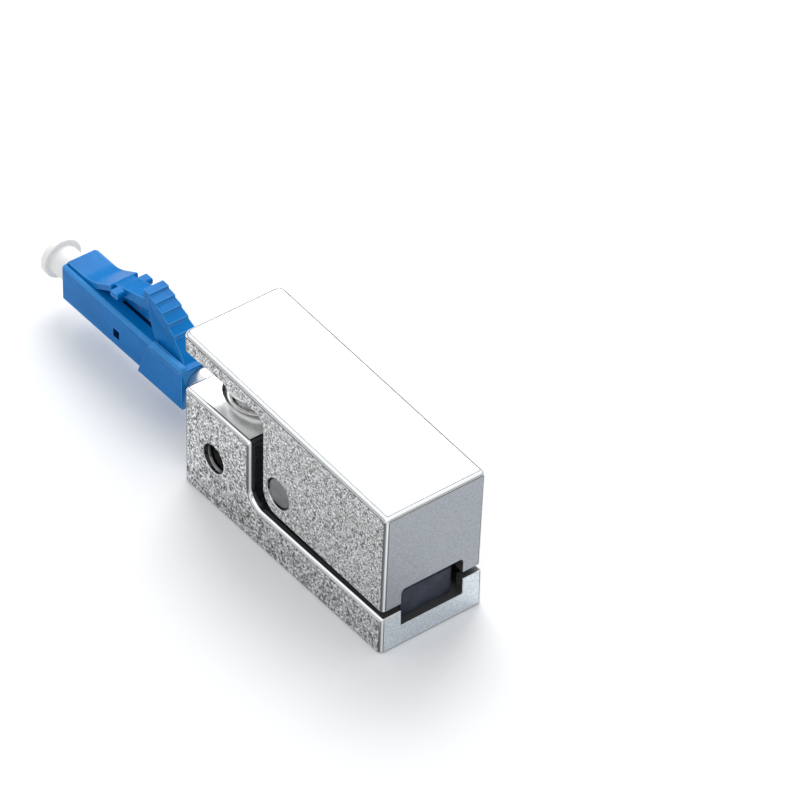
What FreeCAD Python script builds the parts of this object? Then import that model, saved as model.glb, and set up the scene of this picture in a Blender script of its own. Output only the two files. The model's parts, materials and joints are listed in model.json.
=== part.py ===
import FreeCAD, Part
import math
import os
import re

import Sketcher

# Bare-fibre adapter with an LC plug: a spring clamp grips a bare fibre and leads it into the plug's
# ferrule. +X points from the plug to the rear of the clamp, +Z up, and the origin is the centre of the
# base's underside. The lever is drawn in its own frame on the pivot pin's axis, and the plug in its own
# frame, whose origin is on the fibre's axis in the plane of the front block's front face.

SIZES = {
    # base casting
    "base_length": 31.8,
    "base_width": 12.5,
    "block_length": 10.65,
    "block_height": 12.1,
    "rail_height": 4.45,
    "rail_width": 0.85,
    "floor_height": 2.5,
    "crook_radius": 1.8,
    "relief_depth": 0.95,
    "relief_roof": 0.9,
    "base_wall": 1.1,
    "notch_width": 7.5,
    "edge_radius": 0.5,
    "small_radius": 0.2,
    "axis_height": 5.7,
    # tapped hole in the block's side
    "tapped_setback": 4.8,
    "tapped_height": 6.0,
    "tapped_radius": 1.65,
    "tapped_depth": 3.2,
    # spring and its ring groove in the block's top
    "spring_setback": 4.95,
    "spring_radius": 3.6,
    "spring_wire": 0.7,
    "spring_turns": 4.5,
    "groove_depth": 3.0,
    "groove_clearance": 0.25,
    "spigot_height": 0.8,
    # pivot
    "pivot_setback": 15.07,
    "pivot_height": 8.6,
    "pin_radius": 1.7,
    "pin_clearance": 0.05,
    "pin_chamfer": 0.25,
    "pin_recess": 0.2,
    "lug_reach": 2.5,
    "lug_radius": 2.45,
    "lug_thickness": 1.4,
    "lug_gap": 5.9,
    # lever casting
    "lever_width": 12.1,
    "lever_overhang": 0.6,
    "lever_inset": 0.05,
    "lever_front_height": 18.8,
    "lever_rear_height": 17.4,
    "plate_underside": 16.55,
    "lever_bottom": 5.25,
    "cheek_lead": 2.4,
    "cheek_thickness": 1.45,
    "cheek_radius": 2.2,
    "armpit_radius": 1.3,
    "roof_thickness": 1.6,
    "lever_wall": 1.2,
    "lever_notch_top": 7.1,
    "plan_radius": 0.9,
    "top_radius": 0.6,
    "rear_lean": 0.35,
    "bottom_rise": 0.45,
    # rubber pads and the V-groove plate
    "pad_width": 6.5,
    "pad_recess": 1.0,
    "pad_thickness": 2.6,
    "pad_gap": 0.04,
    "groove_plate_length": 2.5,
    "plate_gap": 0.15,
    "groove_half_width": 0.8,
    # fibre path through the block
    "neck_radius": 2.0,
    "neck_seat": 7.0,
    "guide_radius": 0.9,
    "guide_bore": 0.3,
    "guide_front": 2.5,
    "guide_reach": 17.8,
    "funnel_length": 1.4,
    "funnel_radius": 0.75,
    # plug housing and its latch
    "housing_side": 4.52,
    "housing_front": 26.5,
    "housing_rear": 8.2,
    "housing_chamfer": 0.3,
    "chamber_radius": 1.65,
    "chamber_depth": 6.0,
    "web_thickness": 1.0,
    "barrel_radius": 1.5,
    "latch_root_width": 3.3,
    "latch_arm_width": 2.3,
    "latch_rise": 0.35,
    "latch_bend_start": 4.0,
    "latch_bend_length": 3.6,
    "latch_bend_rise": 1.95,
    "latch_arm_length": 5.7,
    "latch_arm_rise": 1.55,
    "latch_thickness": 0.8,
    "latch_arm_depth": 1.3,
    "lug_setback": 8.4,
    "lug_length": 1.3,
    "lug_height": 0.75,
    "window_setback": 8.9,
    "window_length": 1.0,
    # rear clip and its trigger
    "clip_rear": 5.5,
    "clip_front": 10.8,
    "clip_lip": 2.3,
    "lip_thickness": 0.55,
    "clip_width": 5.2,
    "clip_below": 2.5,
    "clip_above": 2.75,
    "clip_radius": 0.4,
    "clip_clearance": 0.05,
    "clip_chamber_depth": 1.6,
    "trigger_width": 2.45,
    "trigger_foot_width": 3.7,
    "trigger_height": 7.3,
    "trigger_length": 8.3,
    "trigger_thickness": 0.95,
    "trigger_root": 2.0,
    "trigger_foot_length": 3.2,
    "trigger_bulge": 10.0,
    "ridge_pitch": 1.1,
    # crimp body
    "crimp_length": 4.4,
    "crimp_flange_radius": 2.3,
    "crimp_flange_length": 1.3,
    "crimp_bore": 0.95,
    # ferrule group
    "ferrule_radius": 0.625,
    "ferrule_bore": 0.14,
    "ferrule_length": 10.4,
    "ferrule_stickout": 1.6,
    "ferrule_chamfer": 0.2,
    "flange_radius": 1.35,
    "flange_length": 1.9,
    "hub_radius": 0.72,
    "hub_length": 1.6,
    "coil_radius": 1.05,
    "coil_wire": 0.28,
    "coil_turns": 6.0,
    "tube_radius": 0.45,
    "tube_bore": 0.25,
    "tube_length": 6.6,
    "fit_gap": 0.05,
    # dust cap
    "cap_flange_radius": 2.05,
    "cap_flange_thickness": 0.85,
    "cap_barrel_radius": 1.55,
    "cap_bore": 0.69,
    "cap_standoff": 3.0,
    "cap_insert": 4.2,
    "cap_end_wall": 1.0,
}

doc = FreeCAD.newDocument("bare_fibre_adapter")
sheet = doc.addObject("Spreadsheet::Sheet", "dims")
for row, (alias, value) in enumerate(SIZES.items(), start=1):
    sheet.set(f"A{row}", alias)
    sheet.set(f"B{row}", str(value))
    sheet.setAlias(f"B{row}", alias)
doc.recompute()


def bound(expression):
    """Point each size named in an expression at its cell."""
    return re.sub(r"[a-z]+(?:_[a-z]+)+", r"dims.\g<0>", expression)


def number(expression):
    """Work out an expression of named sizes."""
    return float(sheet.evalExpression(bound(expression)))


def sub_part(label, x="0", z="0"):
    """A body with its own frame at (x, 0, z)."""
    body = doc.addObject("PartDesign::Body", label)
    body.Label = label
    body.setExpression("Placement.Base.x", bound(x))
    body.setExpression("Placement.Base.z", bound(z))
    return body


def sketch_on(body, name, role, offset="0"):
    """A sketch on one of the body's own planes, lifted along that plane's normal."""
    sketch = body.newObject("Sketcher::SketchObject", f"{body.Name}_{name}")
    plane = next(item for item in body.Origin.OriginFeatures if item.Role == role)
    sketch.AttachmentSupport = (plane, [""])
    sketch.MapMode = "FlatFace"
    sketch.setExpression("AttachmentOffset.Base.z", bound(offset))
    return sketch


def hold(sketch, kind, geometry, point, expression):
    """Tie a point of the sketch to the sketch's origin by a named size."""
    value = number(expression)
    index = sketch.addConstraint(Sketcher.Constraint(kind, -1, 1, geometry, point, value))
    sketch.setExpression(f"Constraints[{index}]", bound(expression))


def hold_radius(sketch, geometry, expression):
    index = sketch.addConstraint(Sketcher.Constraint("Radius", geometry, number(expression)))
    sketch.setExpression(f"Constraints[{index}]", bound(expression))


def rounded_corner(before, corner, after, radius):
    """The arc that rounds a corner, its two tangent points, and whether it turns left."""
    back = (before - corner).normalize()
    ahead = (after - corner).normalize()
    half = back.getAngle(ahead) / 2
    start = corner + back * (radius / math.tan(half))
    end = corner + ahead * (radius / math.tan(half))
    centre = corner + (back + ahead).normalize() * (radius / math.sin(half))
    left = (back.x * ahead.y - back.y * ahead.x) < 0
    first, last = (start, end) if left else (end, start)
    angles = [math.atan2(p.y - centre.y, p.x - centre.x) for p in (first, last)]
    circle = Part.Circle(centre, FreeCAD.Vector(0, 0, 1), radius)
    return Part.ArcOfCircle(circle, angles[0], angles[1]), start, end, left


def outline(sketch, corners):
    """A closed outline of (x, y) or (x, y, radius) corners, each held by named sizes."""
    spots = [FreeCAD.Vector(number(c[0]), number(c[1]), 0) for c in corners]
    count = len(corners)
    starts = list(spots)
    ends = list(spots)
    arcs = {}
    for i, corner in enumerate(corners):
        if len(corner) == 3:
            arc, into, out, left = rounded_corner(
                spots[i - 1], spots[i], spots[(i + 1) % count], number(corner[2])
            )
            arcs[i] = (arc, left)
            ends[i] = into
            starts[i] = out
    for i in range(count):
        sketch.addGeometry(Part.LineSegment(starts[i], ends[(i + 1) % count]))
    for i, corner in enumerate(corners):
        line_in = (i - 1) % count
        if i not in arcs:
            sketch.addConstraint(Sketcher.Constraint("Coincident", line_in, 2, i, 1))
            hold(sketch, "DistanceX", i, 1, corner[0])
            hold(sketch, "DistanceY", i, 1, corner[1])
            continue
        arc, left = arcs[i]
        bend = sketch.addGeometry(arc)
        mark = sketch.addGeometry(Part.Point(spots[i]), True)
        hold(sketch, "DistanceX", mark, 1, corner[0])
        hold(sketch, "DistanceY", mark, 1, corner[1])
        sketch.addConstraint(Sketcher.Constraint("PointOnObject", mark, 1, line_in))
        sketch.addConstraint(Sketcher.Constraint("PointOnObject", mark, 1, i))
        near, far = (1, 2) if left else (2, 1)
        sketch.addConstraint(Sketcher.Constraint("Tangent", line_in, 2, bend, near))
        sketch.addConstraint(Sketcher.Constraint("Tangent", bend, far, i, 1))
        hold_radius(sketch, bend, corner[2])


def rectangle(sketch, x_low, x_high, y_low, y_high):
    outline(sketch, [(x_low, y_low), (x_high, y_low), (x_high, y_high), (x_low, y_high)])


def ring(sketch, x, y, *radii):
    """Circles about one held centre."""
    for radius in radii:
        centre = FreeCAD.Vector(number(x), number(y), 0)
        circle = Part.Circle(centre, FreeCAD.Vector(0, 0, 1), number(radius))
        index = sketch.addGeometry(circle)
        hold(sketch, "DistanceX", index, 3, x)
        hold(sketch, "DistanceY", index, 3, y)
        hold_radius(sketch, index, radius)


def extrude(body, kind, sketch, length, symmetric=False, flipped=False):
    """A pad or a pocket of a sketch. A pocket cuts against the sketch's normal unless flipped."""
    feature = body.newObject(f"PartDesign::{kind}", f"{sketch.Name}_{kind.lower()}")
    feature.Profile = sketch
    feature.SideType = "Symmetric" if symmetric else "One side"
    feature.Reversed = flipped
    feature.setExpression("Length", bound(length))
    sketch.Visibility = False
    doc.recompute()
    return feature


def revolve(body, sketch):
    """Turn a profile of (x, radius) about the body's X axis."""
    feature = body.newObject("PartDesign::Revolution", f"{sketch.Name}_turned")
    feature.Profile = sketch
    feature.ReferenceAxis = (sketch, ["H_Axis"])
    feature.Angle = 360
    doc.recompute()
    return feature


def turned(label, profile, x="0", z="0"):
    """A turned sub-part from its (x, radius) profile."""
    body = sub_part(label, x, z)
    sketch = sketch_on(body, "profile", "XY_Plane")
    outline(sketch, profile)
    revolve(body, sketch)
    return body


def soften(body, kind, size, wanted):
    """Round or chamfer the edges of the body so far that the test picks."""
    base = body.Tip
    names = [f"Edge{i}" for i, edge in enumerate(base.Shape.Edges, start=1) if wanted(edge)]
    feature = body.newObject(f"PartDesign::{kind}", f"{body.Name}_{kind.lower()}")
    feature.Base = (base, names)
    feature.setExpression("Radius" if kind == "Fillet" else "Size", bound(size))
    doc.recompute()
    return feature


def straight(edge, direction):
    """Whether an edge is a straight one along X, Y or Z."""
    if len(edge.Vertexes) < 2:
        return False
    run = edge.Vertexes[1].Point - edge.Vertexes[0].Point
    return abs(edge.Length - abs(run["XYZ".index(direction)])) < 1e-6


def middle(edge):
    """The middle of an edge's bounding box, in the frame of its body."""
    return edge.BoundBox.Center


def near(value, expression):
    return abs(value - number(expression)) < 1e-3


RIDGES = 5
WIRE_SIDES = 6
QUARTER_TURN = 90

# Places along X that several sub-parts share, from the centre of the base.
FRONT = "(-base_length / 2)"
BLOCK_REAR = "(block_length - base_length / 2)"
PIVOT_X = "(pivot_setback - base_length / 2)"
SPRING_X = "(spring_setback - base_length / 2)"
PLATE_FRONT = "(guide_reach + plate_gap - base_length / 2)"
PAD_FRONT = "(guide_reach + groove_plate_length + 2 * plate_gap - base_length / 2)"
PAD_LENGTH = "(base_length - pad_recess - guide_reach - groove_plate_length - 2 * plate_gap)"


def base_body():
    """The clamp's base: a zinc casting with its front block, tray, rails, rear wall and lugs."""
    body = sub_part("base_body")
    side = sketch_on(body, "side", "XZ_Plane")
    outline(
        side,
        [
            (FRONT, "0"),
            ("base_length / 2", "0"),
            ("base_length / 2", "rail_height"),
            (BLOCK_REAR, "rail_height", "crook_radius"),
            (BLOCK_REAR, "block_height"),
            (FRONT, "block_height"),
        ],
    )
    extrude(body, "Pad", side, "base_width", symmetric=True)
    soften(body, "Fillet", "edge_radius", base_corner)
    soften(body, "Fillet", "small_radius", lambda edge: near(edge.BoundBox.ZMax, "0"))

    tray = sketch_on(body, "tray", "XY_Plane", "block_height - relief_roof")
    rectangle(
        tray,
        BLOCK_REAR + " - relief_depth",
        "base_length / 2 - base_wall",
        "rail_width - base_width / 2",
        "base_width / 2 - rail_width",
    )
    extrude(body, "Pocket", tray, "block_height - relief_roof - floor_height")

    notch = sketch_on(body, "notch", "YZ_Plane", "base_length / 2")
    rectangle(notch, "-notch_width / 2", "notch_width / 2", "floor_height", "block_height")
    extrude(body, "Pocket", notch, "base_wall + small_radius")

    lugs = sketch_on(body, "lugs", "XZ_Plane")
    lug_top = "pivot_height + lug_reach"
    lug_front = PIVOT_X + " - lug_reach"
    lug_rear = PIVOT_X + " + lug_reach"
    outline(
        lugs,
        [
            (lug_front, "floor_height / 2"),
            (lug_rear, "floor_height / 2"),
            (lug_rear, lug_top, "lug_radius"),
            (lug_front, lug_top, "lug_radius"),
        ],
    )
    extrude(body, "Pad", lugs, "lug_gap + 2 * lug_thickness", symmetric=True)
    gap = sketch_on(body, "lug_gap", "XY_Plane", "block_height")
    rectangle(gap, lug_front + " - small_radius", lug_rear + " + small_radius", "-lug_gap / 2", "lug_gap / 2")
    extrude(body, "Pocket", gap, "block_height - floor_height")

    pin_hole = sketch_on(body, "pin_hole", "XZ_Plane")
    ring(pin_hole, PIVOT_X, "pivot_height", "pin_radius")
    extrude(body, "Pocket", pin_hole, "base_width", symmetric=True)

    neck_hole = sketch_on(body, "neck_hole", "YZ_Plane", FRONT)
    ring(neck_hole, "0", "axis_height", "neck_radius")
    extrude(body, "Pocket", neck_hole, "neck_seat", flipped=True)
    guide_hole = sketch_on(body, "guide_hole", "YZ_Plane", FRONT)
    ring(guide_hole, "0", "axis_height", "guide_radius")
    extrude(body, "Pocket", guide_hole, "block_length", flipped=True)

    groove = sketch_on(body, "spring_groove", "XY_Plane", "block_height")
    inner = "spring_radius - spring_wire / 2 - groove_clearance"
    ring(groove, SPRING_X, "0", "spring_radius + spring_wire / 2 + groove_clearance", inner)
    extrude(body, "Pocket", groove, "groove_depth")

    tapped = sketch_on(body, "tapped_hole", "XZ_Plane", "base_width / 2")
    ring(tapped, "tapped_setback - base_length / 2", "tapped_height", "tapped_radius")
    extrude(body, "Pocket", tapped, "tapped_depth")
    return body


def base_corner(edge):
    """The side faces' outer edges above the foot, and the block's whole top rim."""
    along_side = near(abs(middle(edge).y), "base_width / 2")
    above_foot = edge.BoundBox.ZMax > number("small_radius")
    return above_foot and (along_side or near(edge.BoundBox.ZMin, "block_height"))


def pivot_pin():
    """The ground cross pin, pressed into the base's lugs."""
    body = sub_part("pivot_pin", PIVOT_X, "pivot_height")
    profile = sketch_on(body, "profile", "YZ_Plane")
    half = "(lever_width / 2 - pin_recess)"
    outline(
        profile,
        [
            ("-" + half, "0"),
            (half, "0"),
            (half, "pin_radius - pin_chamfer"),
            (half + " - pin_chamfer", "pin_radius"),
            ("pin_chamfer - " + half, "pin_radius"),
            ("-" + half, "pin_radius - pin_chamfer"),
        ],
    )
    revolve(body, profile)
    return body


def clamp_lever():
    """The lever: a hollow zinc casting that tapers from its thumb plate to its rear wall."""
    body = sub_part("clamp_lever", PIVOT_X, "pivot_height")
    front = "(-pivot_setback - lever_overhang)"
    rear = "(base_length - pivot_setback - lever_inset)"
    under = "(plate_underside - pivot_height)"
    bottom = "(lever_bottom - pivot_height)"
    top_front = "(lever_front_height - pivot_height)"
    top_rear = "(lever_rear_height - pivot_height)"
    side = sketch_on(body, "side", "XZ_Plane")
    outline(
        side,
        [
            (front, under),
            ("-cheek_lead", under, "armpit_radius"),
            ("-cheek_lead", bottom + " + bottom_rise", "cheek_radius"),
            (rear, bottom),
            (rear + " + rear_lean", top_rear),
            (front, top_front),
        ],
    )
    extrude(body, "Pad", side, "lever_width", symmetric=True)
    soften(body, "Fillet", "plan_radius", lever_front_corner)
    soften(body, "Fillet", "edge_radius", lever_rear_corner)
    soften(body, "Fillet", "top_radius", lever_top_edge)

    inner_rear = rear + " - lever_wall"
    roof_rear = top_rear + " - roof_thickness"
    hollow = sketch_on(body, "hollow", "XZ_Plane")
    outline(
        hollow,
        [
            ("-cheek_lead - 2 * armpit_radius", bottom + " - small_radius"),
            (inner_rear, bottom + " - small_radius"),
            (inner_rear + " + rear_lean", roof_rear),
            ("-cheek_lead", under),
            ("-cheek_lead - 2 * armpit_radius", under),
        ],
    )
    extrude(body, "Pocket", hollow, "lever_width - 2 * cheek_thickness", symmetric=True)

    seat = sketch_on(body, "pad_seat", "XZ_Plane")
    seat_front = PAD_FRONT + " - " + PIVOT_X
    seat_bottom = "(axis_height + pad_thickness - pivot_height)"
    seat_top = top_rear + " - roof_thickness / 2"
    rectangle(seat, seat_front, inner_rear + " + small_radius", seat_bottom, seat_top)
    extrude(body, "Pad", seat, "pad_width + small_radius", symmetric=True)

    notch = sketch_on(body, "notch", "YZ_Plane", rear + " + rear_lean")
    outline(
        notch,
        [
            ("-notch_width / 2", bottom + " - small_radius"),
            ("notch_width / 2", bottom + " - small_radius"),
            ("notch_width / 2", "lever_notch_top - pivot_height", "edge_radius"),
            ("-notch_width / 2", "lever_notch_top - pivot_height", "edge_radius"),
        ],
    )
    extrude(body, "Pocket", notch, "rear_lean + lever_wall + small_radius")

    pin_hole = sketch_on(body, "pin_hole", "XZ_Plane")
    ring(pin_hole, "0", "0", "pin_radius + pin_clearance")
    extrude(body, "Pocket", pin_hole, "lever_width", symmetric=True)

    spigot = sketch_on(body, "spigot", "XY_Plane", under + " - spigot_height")
    ring(spigot, "spring_setback - pivot_setback", "0", "spring_radius - spring_wire / 2 - groove_clearance")
    extrude(body, "Pad", spigot, "spigot_height + small_radius")
    return body


def lever_front_corner(edge):
    return straight(edge, "Z") and middle(edge).x < number("-pivot_setback")


def lever_rear_corner(edge):
    """The two upright edges of the lever's leaning rear face."""
    upright = edge.BoundBox.ZLength > edge.BoundBox.XLength + edge.BoundBox.YLength
    return upright and edge.BoundBox.XMin > number("base_length - pivot_setback - lever_inset - small_radius")


def lever_top_edge(edge):
    """The whole rim of the lever's sloping top."""
    low = number("lever_rear_height - pivot_height - top_radius")
    return edge.BoundBox.ZMin > low


def pads():
    """Two rubber pads that grip the fibre, one in the tray and one under the lever."""
    lower = sub_part("lower_pad", PAD_FRONT, "floor_height")
    plan = sketch_on(lower, "plan", "XY_Plane")
    rectangle(plan, "0", PAD_LENGTH, "-pad_width / 2", "pad_width / 2")
    extrude(lower, "Pad", plan, "axis_height - floor_height")
    upper = sub_part("upper_pad", PAD_FRONT, "axis_height + pad_gap")
    plan = sketch_on(upper, "plan", "XY_Plane")
    rectangle(plan, "0", PAD_LENGTH, "-pad_width / 2", "pad_width / 2")
    extrude(upper, "Pad", plan, "pad_thickness - pad_gap")
    for body in (lower, upper):
        soften(body, "Chamfer", "small_radius", lambda edge: straight(edge, "Z"))
    return [lower, upper]


def groove_plate():
    """The plate whose V-groove lines the fibre up with the guide tube."""
    body = sub_part("groove_plate", PLATE_FRONT, "floor_height")
    level = "axis_height - floor_height"
    section = sketch_on(body, "section", "YZ_Plane")
    outline(
        section,
        [
            ("-pad_width / 2", "0"),
            ("pad_width / 2", "0"),
            ("pad_width / 2", level),
            ("groove_half_width", level),
            ("0", level + " - groove_half_width"),
            ("-groove_half_width", level),
            ("-pad_width / 2", level),
        ],
    )
    extrude(body, "Pad", section, "groove_plate_length")
    return body


def guide_tube():
    """The metal tube with a funnel mouth that leads the fibre from the clamp into the plug."""
    return turned(
        "guide_tube",
        [
            ("-guide_front", "guide_bore"),
            ("guide_reach - funnel_length", "guide_bore"),
            ("guide_reach", "funnel_radius"),
            ("guide_reach", "guide_radius"),
            ("-guide_front", "guide_radius"),
        ],
        FRONT,
        "axis_height",
    )


def crimp_body():
    """The turned body whose neck joins the plug to the block."""
    flange_front = "-housing_rear + fit_gap"
    flange_rear = flange_front + " + crimp_flange_length"
    nose = "-housing_rear - crimp_length"
    nose_radius = "barrel_radius - fit_gap"
    return turned(
        "crimp_body",
        [
            (nose, "crimp_bore"),
            ("neck_seat", "crimp_bore"),
            ("neck_seat", "neck_radius"),
            (flange_rear, "neck_radius"),
            (flange_rear, "crimp_flange_radius"),
            (flange_front, "crimp_flange_radius"),
            (flange_front, nose_radius),
            (nose, nose_radius),
        ],
        FRONT,
        "axis_height",
    )


def plug_housing():
    """The plug's front housing, moulded in one with its latch arm."""
    body = sub_part("plug_housing", FRONT, "axis_height")
    half = "housing_side / 2"
    section = sketch_on(body, "section", "YZ_Plane", "-housing_front")
    rectangle(section, "-" + half, half, "-" + half, half)
    extrude(body, "Pad", section, "housing_front - housing_rear")
    soften(body, "Chamfer", "housing_chamfer", lambda edge: straight(edge, "X"))

    latch_arm(body)
    bores = (
        ("chamber", "-housing_front", "chamber_radius", "chamber_depth"),
        ("web", "-housing_front", "ferrule_radius + 2 * fit_gap", "chamber_depth + 2 * web_thickness"),
        ("barrel", "-housing_front + chamber_depth + web_thickness", "barrel_radius", "housing_front"),
    )
    for name, start, radius, depth in bores:
        bore = sketch_on(body, name, "YZ_Plane", start)
        ring(bore, "0", "0", radius)
        extrude(body, "Pocket", bore, depth, flipped=True)

    window = sketch_on(body, "window", "XZ_Plane")
    start = "-housing_front + window_setback"
    rectangle(window, start, start + " + window_length", "-window_length", "0")
    extrude(body, "Pocket", window, "housing_side + small_radius", symmetric=True)
    return body


def latch_arm(body):
    """The springy arm: a wide root that bends up to two side lugs, then a narrower free arm."""
    root = "(-housing_front + small_radius)"
    bend = root + " + latch_bend_start"
    knee = bend + " + latch_bend_length"
    tip = knee + " + latch_arm_length"
    top = "housing_side / 2 + latch_rise"
    knee_top = top + " + latch_bend_rise"
    tip_top = knee_top + " + latch_arm_rise"
    side = sketch_on(body, "latch_root", "XZ_Plane")
    outline(
        side,
        [
            (root, "housing_side / 4"),
            (bend, "housing_side / 4"),
            (bend, top + " - latch_thickness", "small_radius"),
            (knee, knee_top + " - latch_thickness"),
            (knee, knee_top),
            (bend, top, "latch_bend_length / 2"),
            (root, top, "small_radius"),
        ],
    )
    extrude(body, "Pad", side, "latch_root_width", symmetric=True)
    arm = sketch_on(body, "latch_arm", "XZ_Plane")
    outline(
        arm,
        [
            (knee + " - small_radius", knee_top + " - latch_thickness"),
            (knee + " + latch_arm_depth", knee_top + " - latch_arm_depth + latch_rise"),
            (tip, tip_top + " - latch_arm_depth"),
            (tip, tip_top),
            (knee + " - small_radius", knee_top),
        ],
    )
    extrude(body, "Pad", arm, "latch_arm_width", symmetric=True)
    lugs = sketch_on(body, "latch_lugs", "XZ_Plane")
    lug_front = "(-housing_front + lug_setback)"
    lug_top = knee_top + " + small_radius"
    rectangle(lugs, lug_front, lug_front + " + lug_length", lug_top + " - lug_height", lug_top)
    extrude(body, "Pad", lugs, "housing_side", symmetric=True)


def plug_clip():
    """The rear clip that closes the housing, moulded in one with its ridged trigger."""
    body = sub_part("plug_clip", FRONT, "axis_height")
    half = "clip_width / 2"
    section = sketch_on(body, "section", "YZ_Plane", "-clip_front")
    rectangle(section, "-" + half, half, "-clip_below", "clip_above")
    extrude(body, "Pad", section, "clip_front - clip_rear")
    soften(body, "Fillet", "clip_radius", lambda edge: straight(edge, "X") and middle(edge).z > 0)
    trigger(body)
    lip = sketch_on(body, "lip", "YZ_Plane", "-clip_front - clip_lip")
    rectangle(lip, "-" + half, half, "-clip_below", "lip_thickness - clip_below")
    extrude(body, "Pad", lip, "clip_lip + small_radius")

    room = "housing_side / 2 + clip_clearance"
    socket = sketch_on(body, "socket", "YZ_Plane", "-clip_front - clip_lip")
    rectangle(socket, "-(" + room + ")", room, "-(" + room + ")", room)
    extrude(body, "Pocket", socket, "clip_front + clip_lip - housing_rear", flipped=True)
    bores = (
        ("chamber", "-housing_rear", "crimp_flange_radius + clip_clearance", "clip_chamber_depth"),
        ("neck_hole", "-housing_rear", "neck_radius + clip_clearance", "housing_rear"),
    )
    for name, start, radius, depth in bores:
        bore = sketch_on(body, name, "YZ_Plane", start)
        ring(bore, "0", "0", radius)
        extrude(body, "Pocket", bore, depth, flipped=True)
    return body


def trigger(body):
    """The thumb piece: it rises forwards over the latch's tip and has a stepped, bulging back."""
    nose = "(-clip_rear - trigger_length)"
    foot = "(-clip_rear - trigger_thickness / 2)"
    deck = "clip_above - small_radius"
    back = []
    for step in range(RIDGES, 0, -1):
        reach = f"{nose} + {step} * ridge_pitch"
        fall = "ridge_pitch ^ 2 / trigger_bulge"
        back.append((reach, f"trigger_height - {step ** 2} * {fall}"))
        back.append((reach, f"trigger_height - {step ** 2 - step} * {fall}"))
    side = sketch_on(body, "trigger", "XZ_Plane")
    outline(
        side,
        [
            (nose, "trigger_height"),
            (nose, "trigger_height - trigger_thickness / 2"),
            (foot + " - trigger_root", deck),
            (foot, deck),
            *back,
        ],
    )
    extrude(body, "Pad", side, "trigger_width", symmetric=True)
    foot_side = sketch_on(body, "trigger_foot", "XZ_Plane")
    outline(
        foot_side,
        [
            (foot + " - trigger_foot_length", deck),
            (foot, deck),
            (foot + " - trigger_thickness", "clip_above + trigger_thickness"),
        ],
    )
    extrude(body, "Pad", foot_side, "trigger_foot_width", symmetric=True)


def ferrule_group():
    """The ferrule, the flange that carries it and the liner tube behind, which float as one."""
    tip = "(-housing_front - ferrule_stickout)"
    seat = "(-housing_front + chamber_depth + web_thickness + fit_gap)"
    flange_rear = seat + " + flange_length"
    ferrule = turned(
        "ferrule",
        [
            (tip, "ferrule_bore"),
            (tip + " + ferrule_length", "ferrule_bore"),
            (tip + " + ferrule_length", "ferrule_radius"),
            (tip + " + ferrule_chamfer", "ferrule_radius"),
            (tip, "ferrule_radius - ferrule_chamfer"),
        ],
        FRONT,
        "axis_height",
    )
    flange = turned(
        "ferrule_flange",
        [
            (seat, "ferrule_radius"),
            (tip + " + ferrule_length", "ferrule_radius"),
            (tip + " + ferrule_length", "tube_radius"),
            (flange_rear + " + hub_length", "tube_radius"),
            (flange_rear + " + hub_length", "hub_radius"),
            (flange_rear, "hub_radius"),
            (flange_rear, "flange_radius"),
            (seat, "flange_radius"),
        ],
        FRONT,
        "axis_height",
    )
    tube = turned(
        "ferrule_tube",
        [
            (tip + " + ferrule_length + fit_gap", "tube_bore"),
            (tip + " + ferrule_length + tube_length", "tube_bore"),
            (tip + " + ferrule_length + tube_length", "tube_radius"),
            (tip + " + ferrule_length + fit_gap", "tube_radius"),
        ],
        FRONT,
        "axis_height",
    )
    return [ferrule, flange, tube]


def dust_cap():
    """The moulded cap: its barrel goes into the plug's mouth, over the ferrule."""
    outer = "(-housing_front - cap_standoff - cap_flange_thickness)"
    end = "(-housing_front + cap_insert)"
    return turned(
        "dust_cap",
        [
            (outer, "0"),
            (outer + " + cap_end_wall", "0"),
            (outer + " + cap_end_wall", "cap_bore"),
            (end, "cap_bore"),
            (end, "cap_barrel_radius"),
            (outer + " + cap_flange_thickness", "cap_barrel_radius"),
            (outer + " + cap_flange_thickness", "cap_flange_radius"),
            (outer, "cap_flange_radius", "small_radius"),
        ],
        FRONT,
        "axis_height",
    )


def coil(label, radius, wire, turns, length, foot_x, foot_z, along_x=False):
    """A compression spring of six-sided wire, wound about Z from its foot, or about X for along_x."""
    helix = doc.addObject("Part::Helix", label + "_path")
    helix.setExpression("Radius", bound(radius))
    helix.setExpression("Height", bound(f"{length} - {wire}"))
    helix.setExpression("Pitch", bound(f"({length} - {wire}) / {turns}"))
    section = doc.addObject("Part::RegularPolygon", label + "_section")
    section.Polygon = WIRE_SIDES
    section.setExpression("Circumradius", bound(f"{wire} / 2"))
    section.Placement.Rotation = FreeCAD.Rotation(FreeCAD.Vector(1, 0, 0), QUARTER_TURN)
    if along_x:
        helix.Placement.Rotation = FreeCAD.Rotation(FreeCAD.Vector(0, 1, 0), QUARTER_TURN)
        start_x, start_z = f"{foot_x} + {wire} / 2", foot_z
        section_x, section_z = start_x, f"{start_z} - {radius}"
    else:
        start_x, start_z = foot_x, f"{foot_z} + {wire} / 2"
        section_x, section_z = f"{start_x} + {radius}", start_z
    for item, x, z in ((helix, start_x, start_z), (section, section_x, section_z)):
        item.setExpression("Placement.Base.x", bound(x))
        item.setExpression("Placement.Base.z", bound(z))
    doc.recompute()
    spring = doc.addObject("Part::Sweep", label)
    spring.Sections = [section]
    spring.Spine = (helix, ["Edge1"])
    spring.Solid = True
    spring.Frenet = True
    return spring


def lever_spring():
    """The spring between the block and the thumb plate."""
    foot = "block_height - groove_depth"
    length = "(plate_underside - block_height + groove_depth)"
    return coil("lever_spring", "spring_radius", "spring_wire", "spring_turns", length, SPRING_X, foot)


def ferrule_spring():
    """The spring between the ferrule's flange and the crimp body."""
    seat = "(-housing_front + chamber_depth + web_thickness + fit_gap + flange_length)"
    foot = FRONT + " + " + seat
    length = "(-housing_rear - crimp_length - " + seat + ")"
    return coil("ferrule_spring", "coil_radius", "coil_wire", "coil_turns", length, foot, "axis_height", True)


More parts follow.
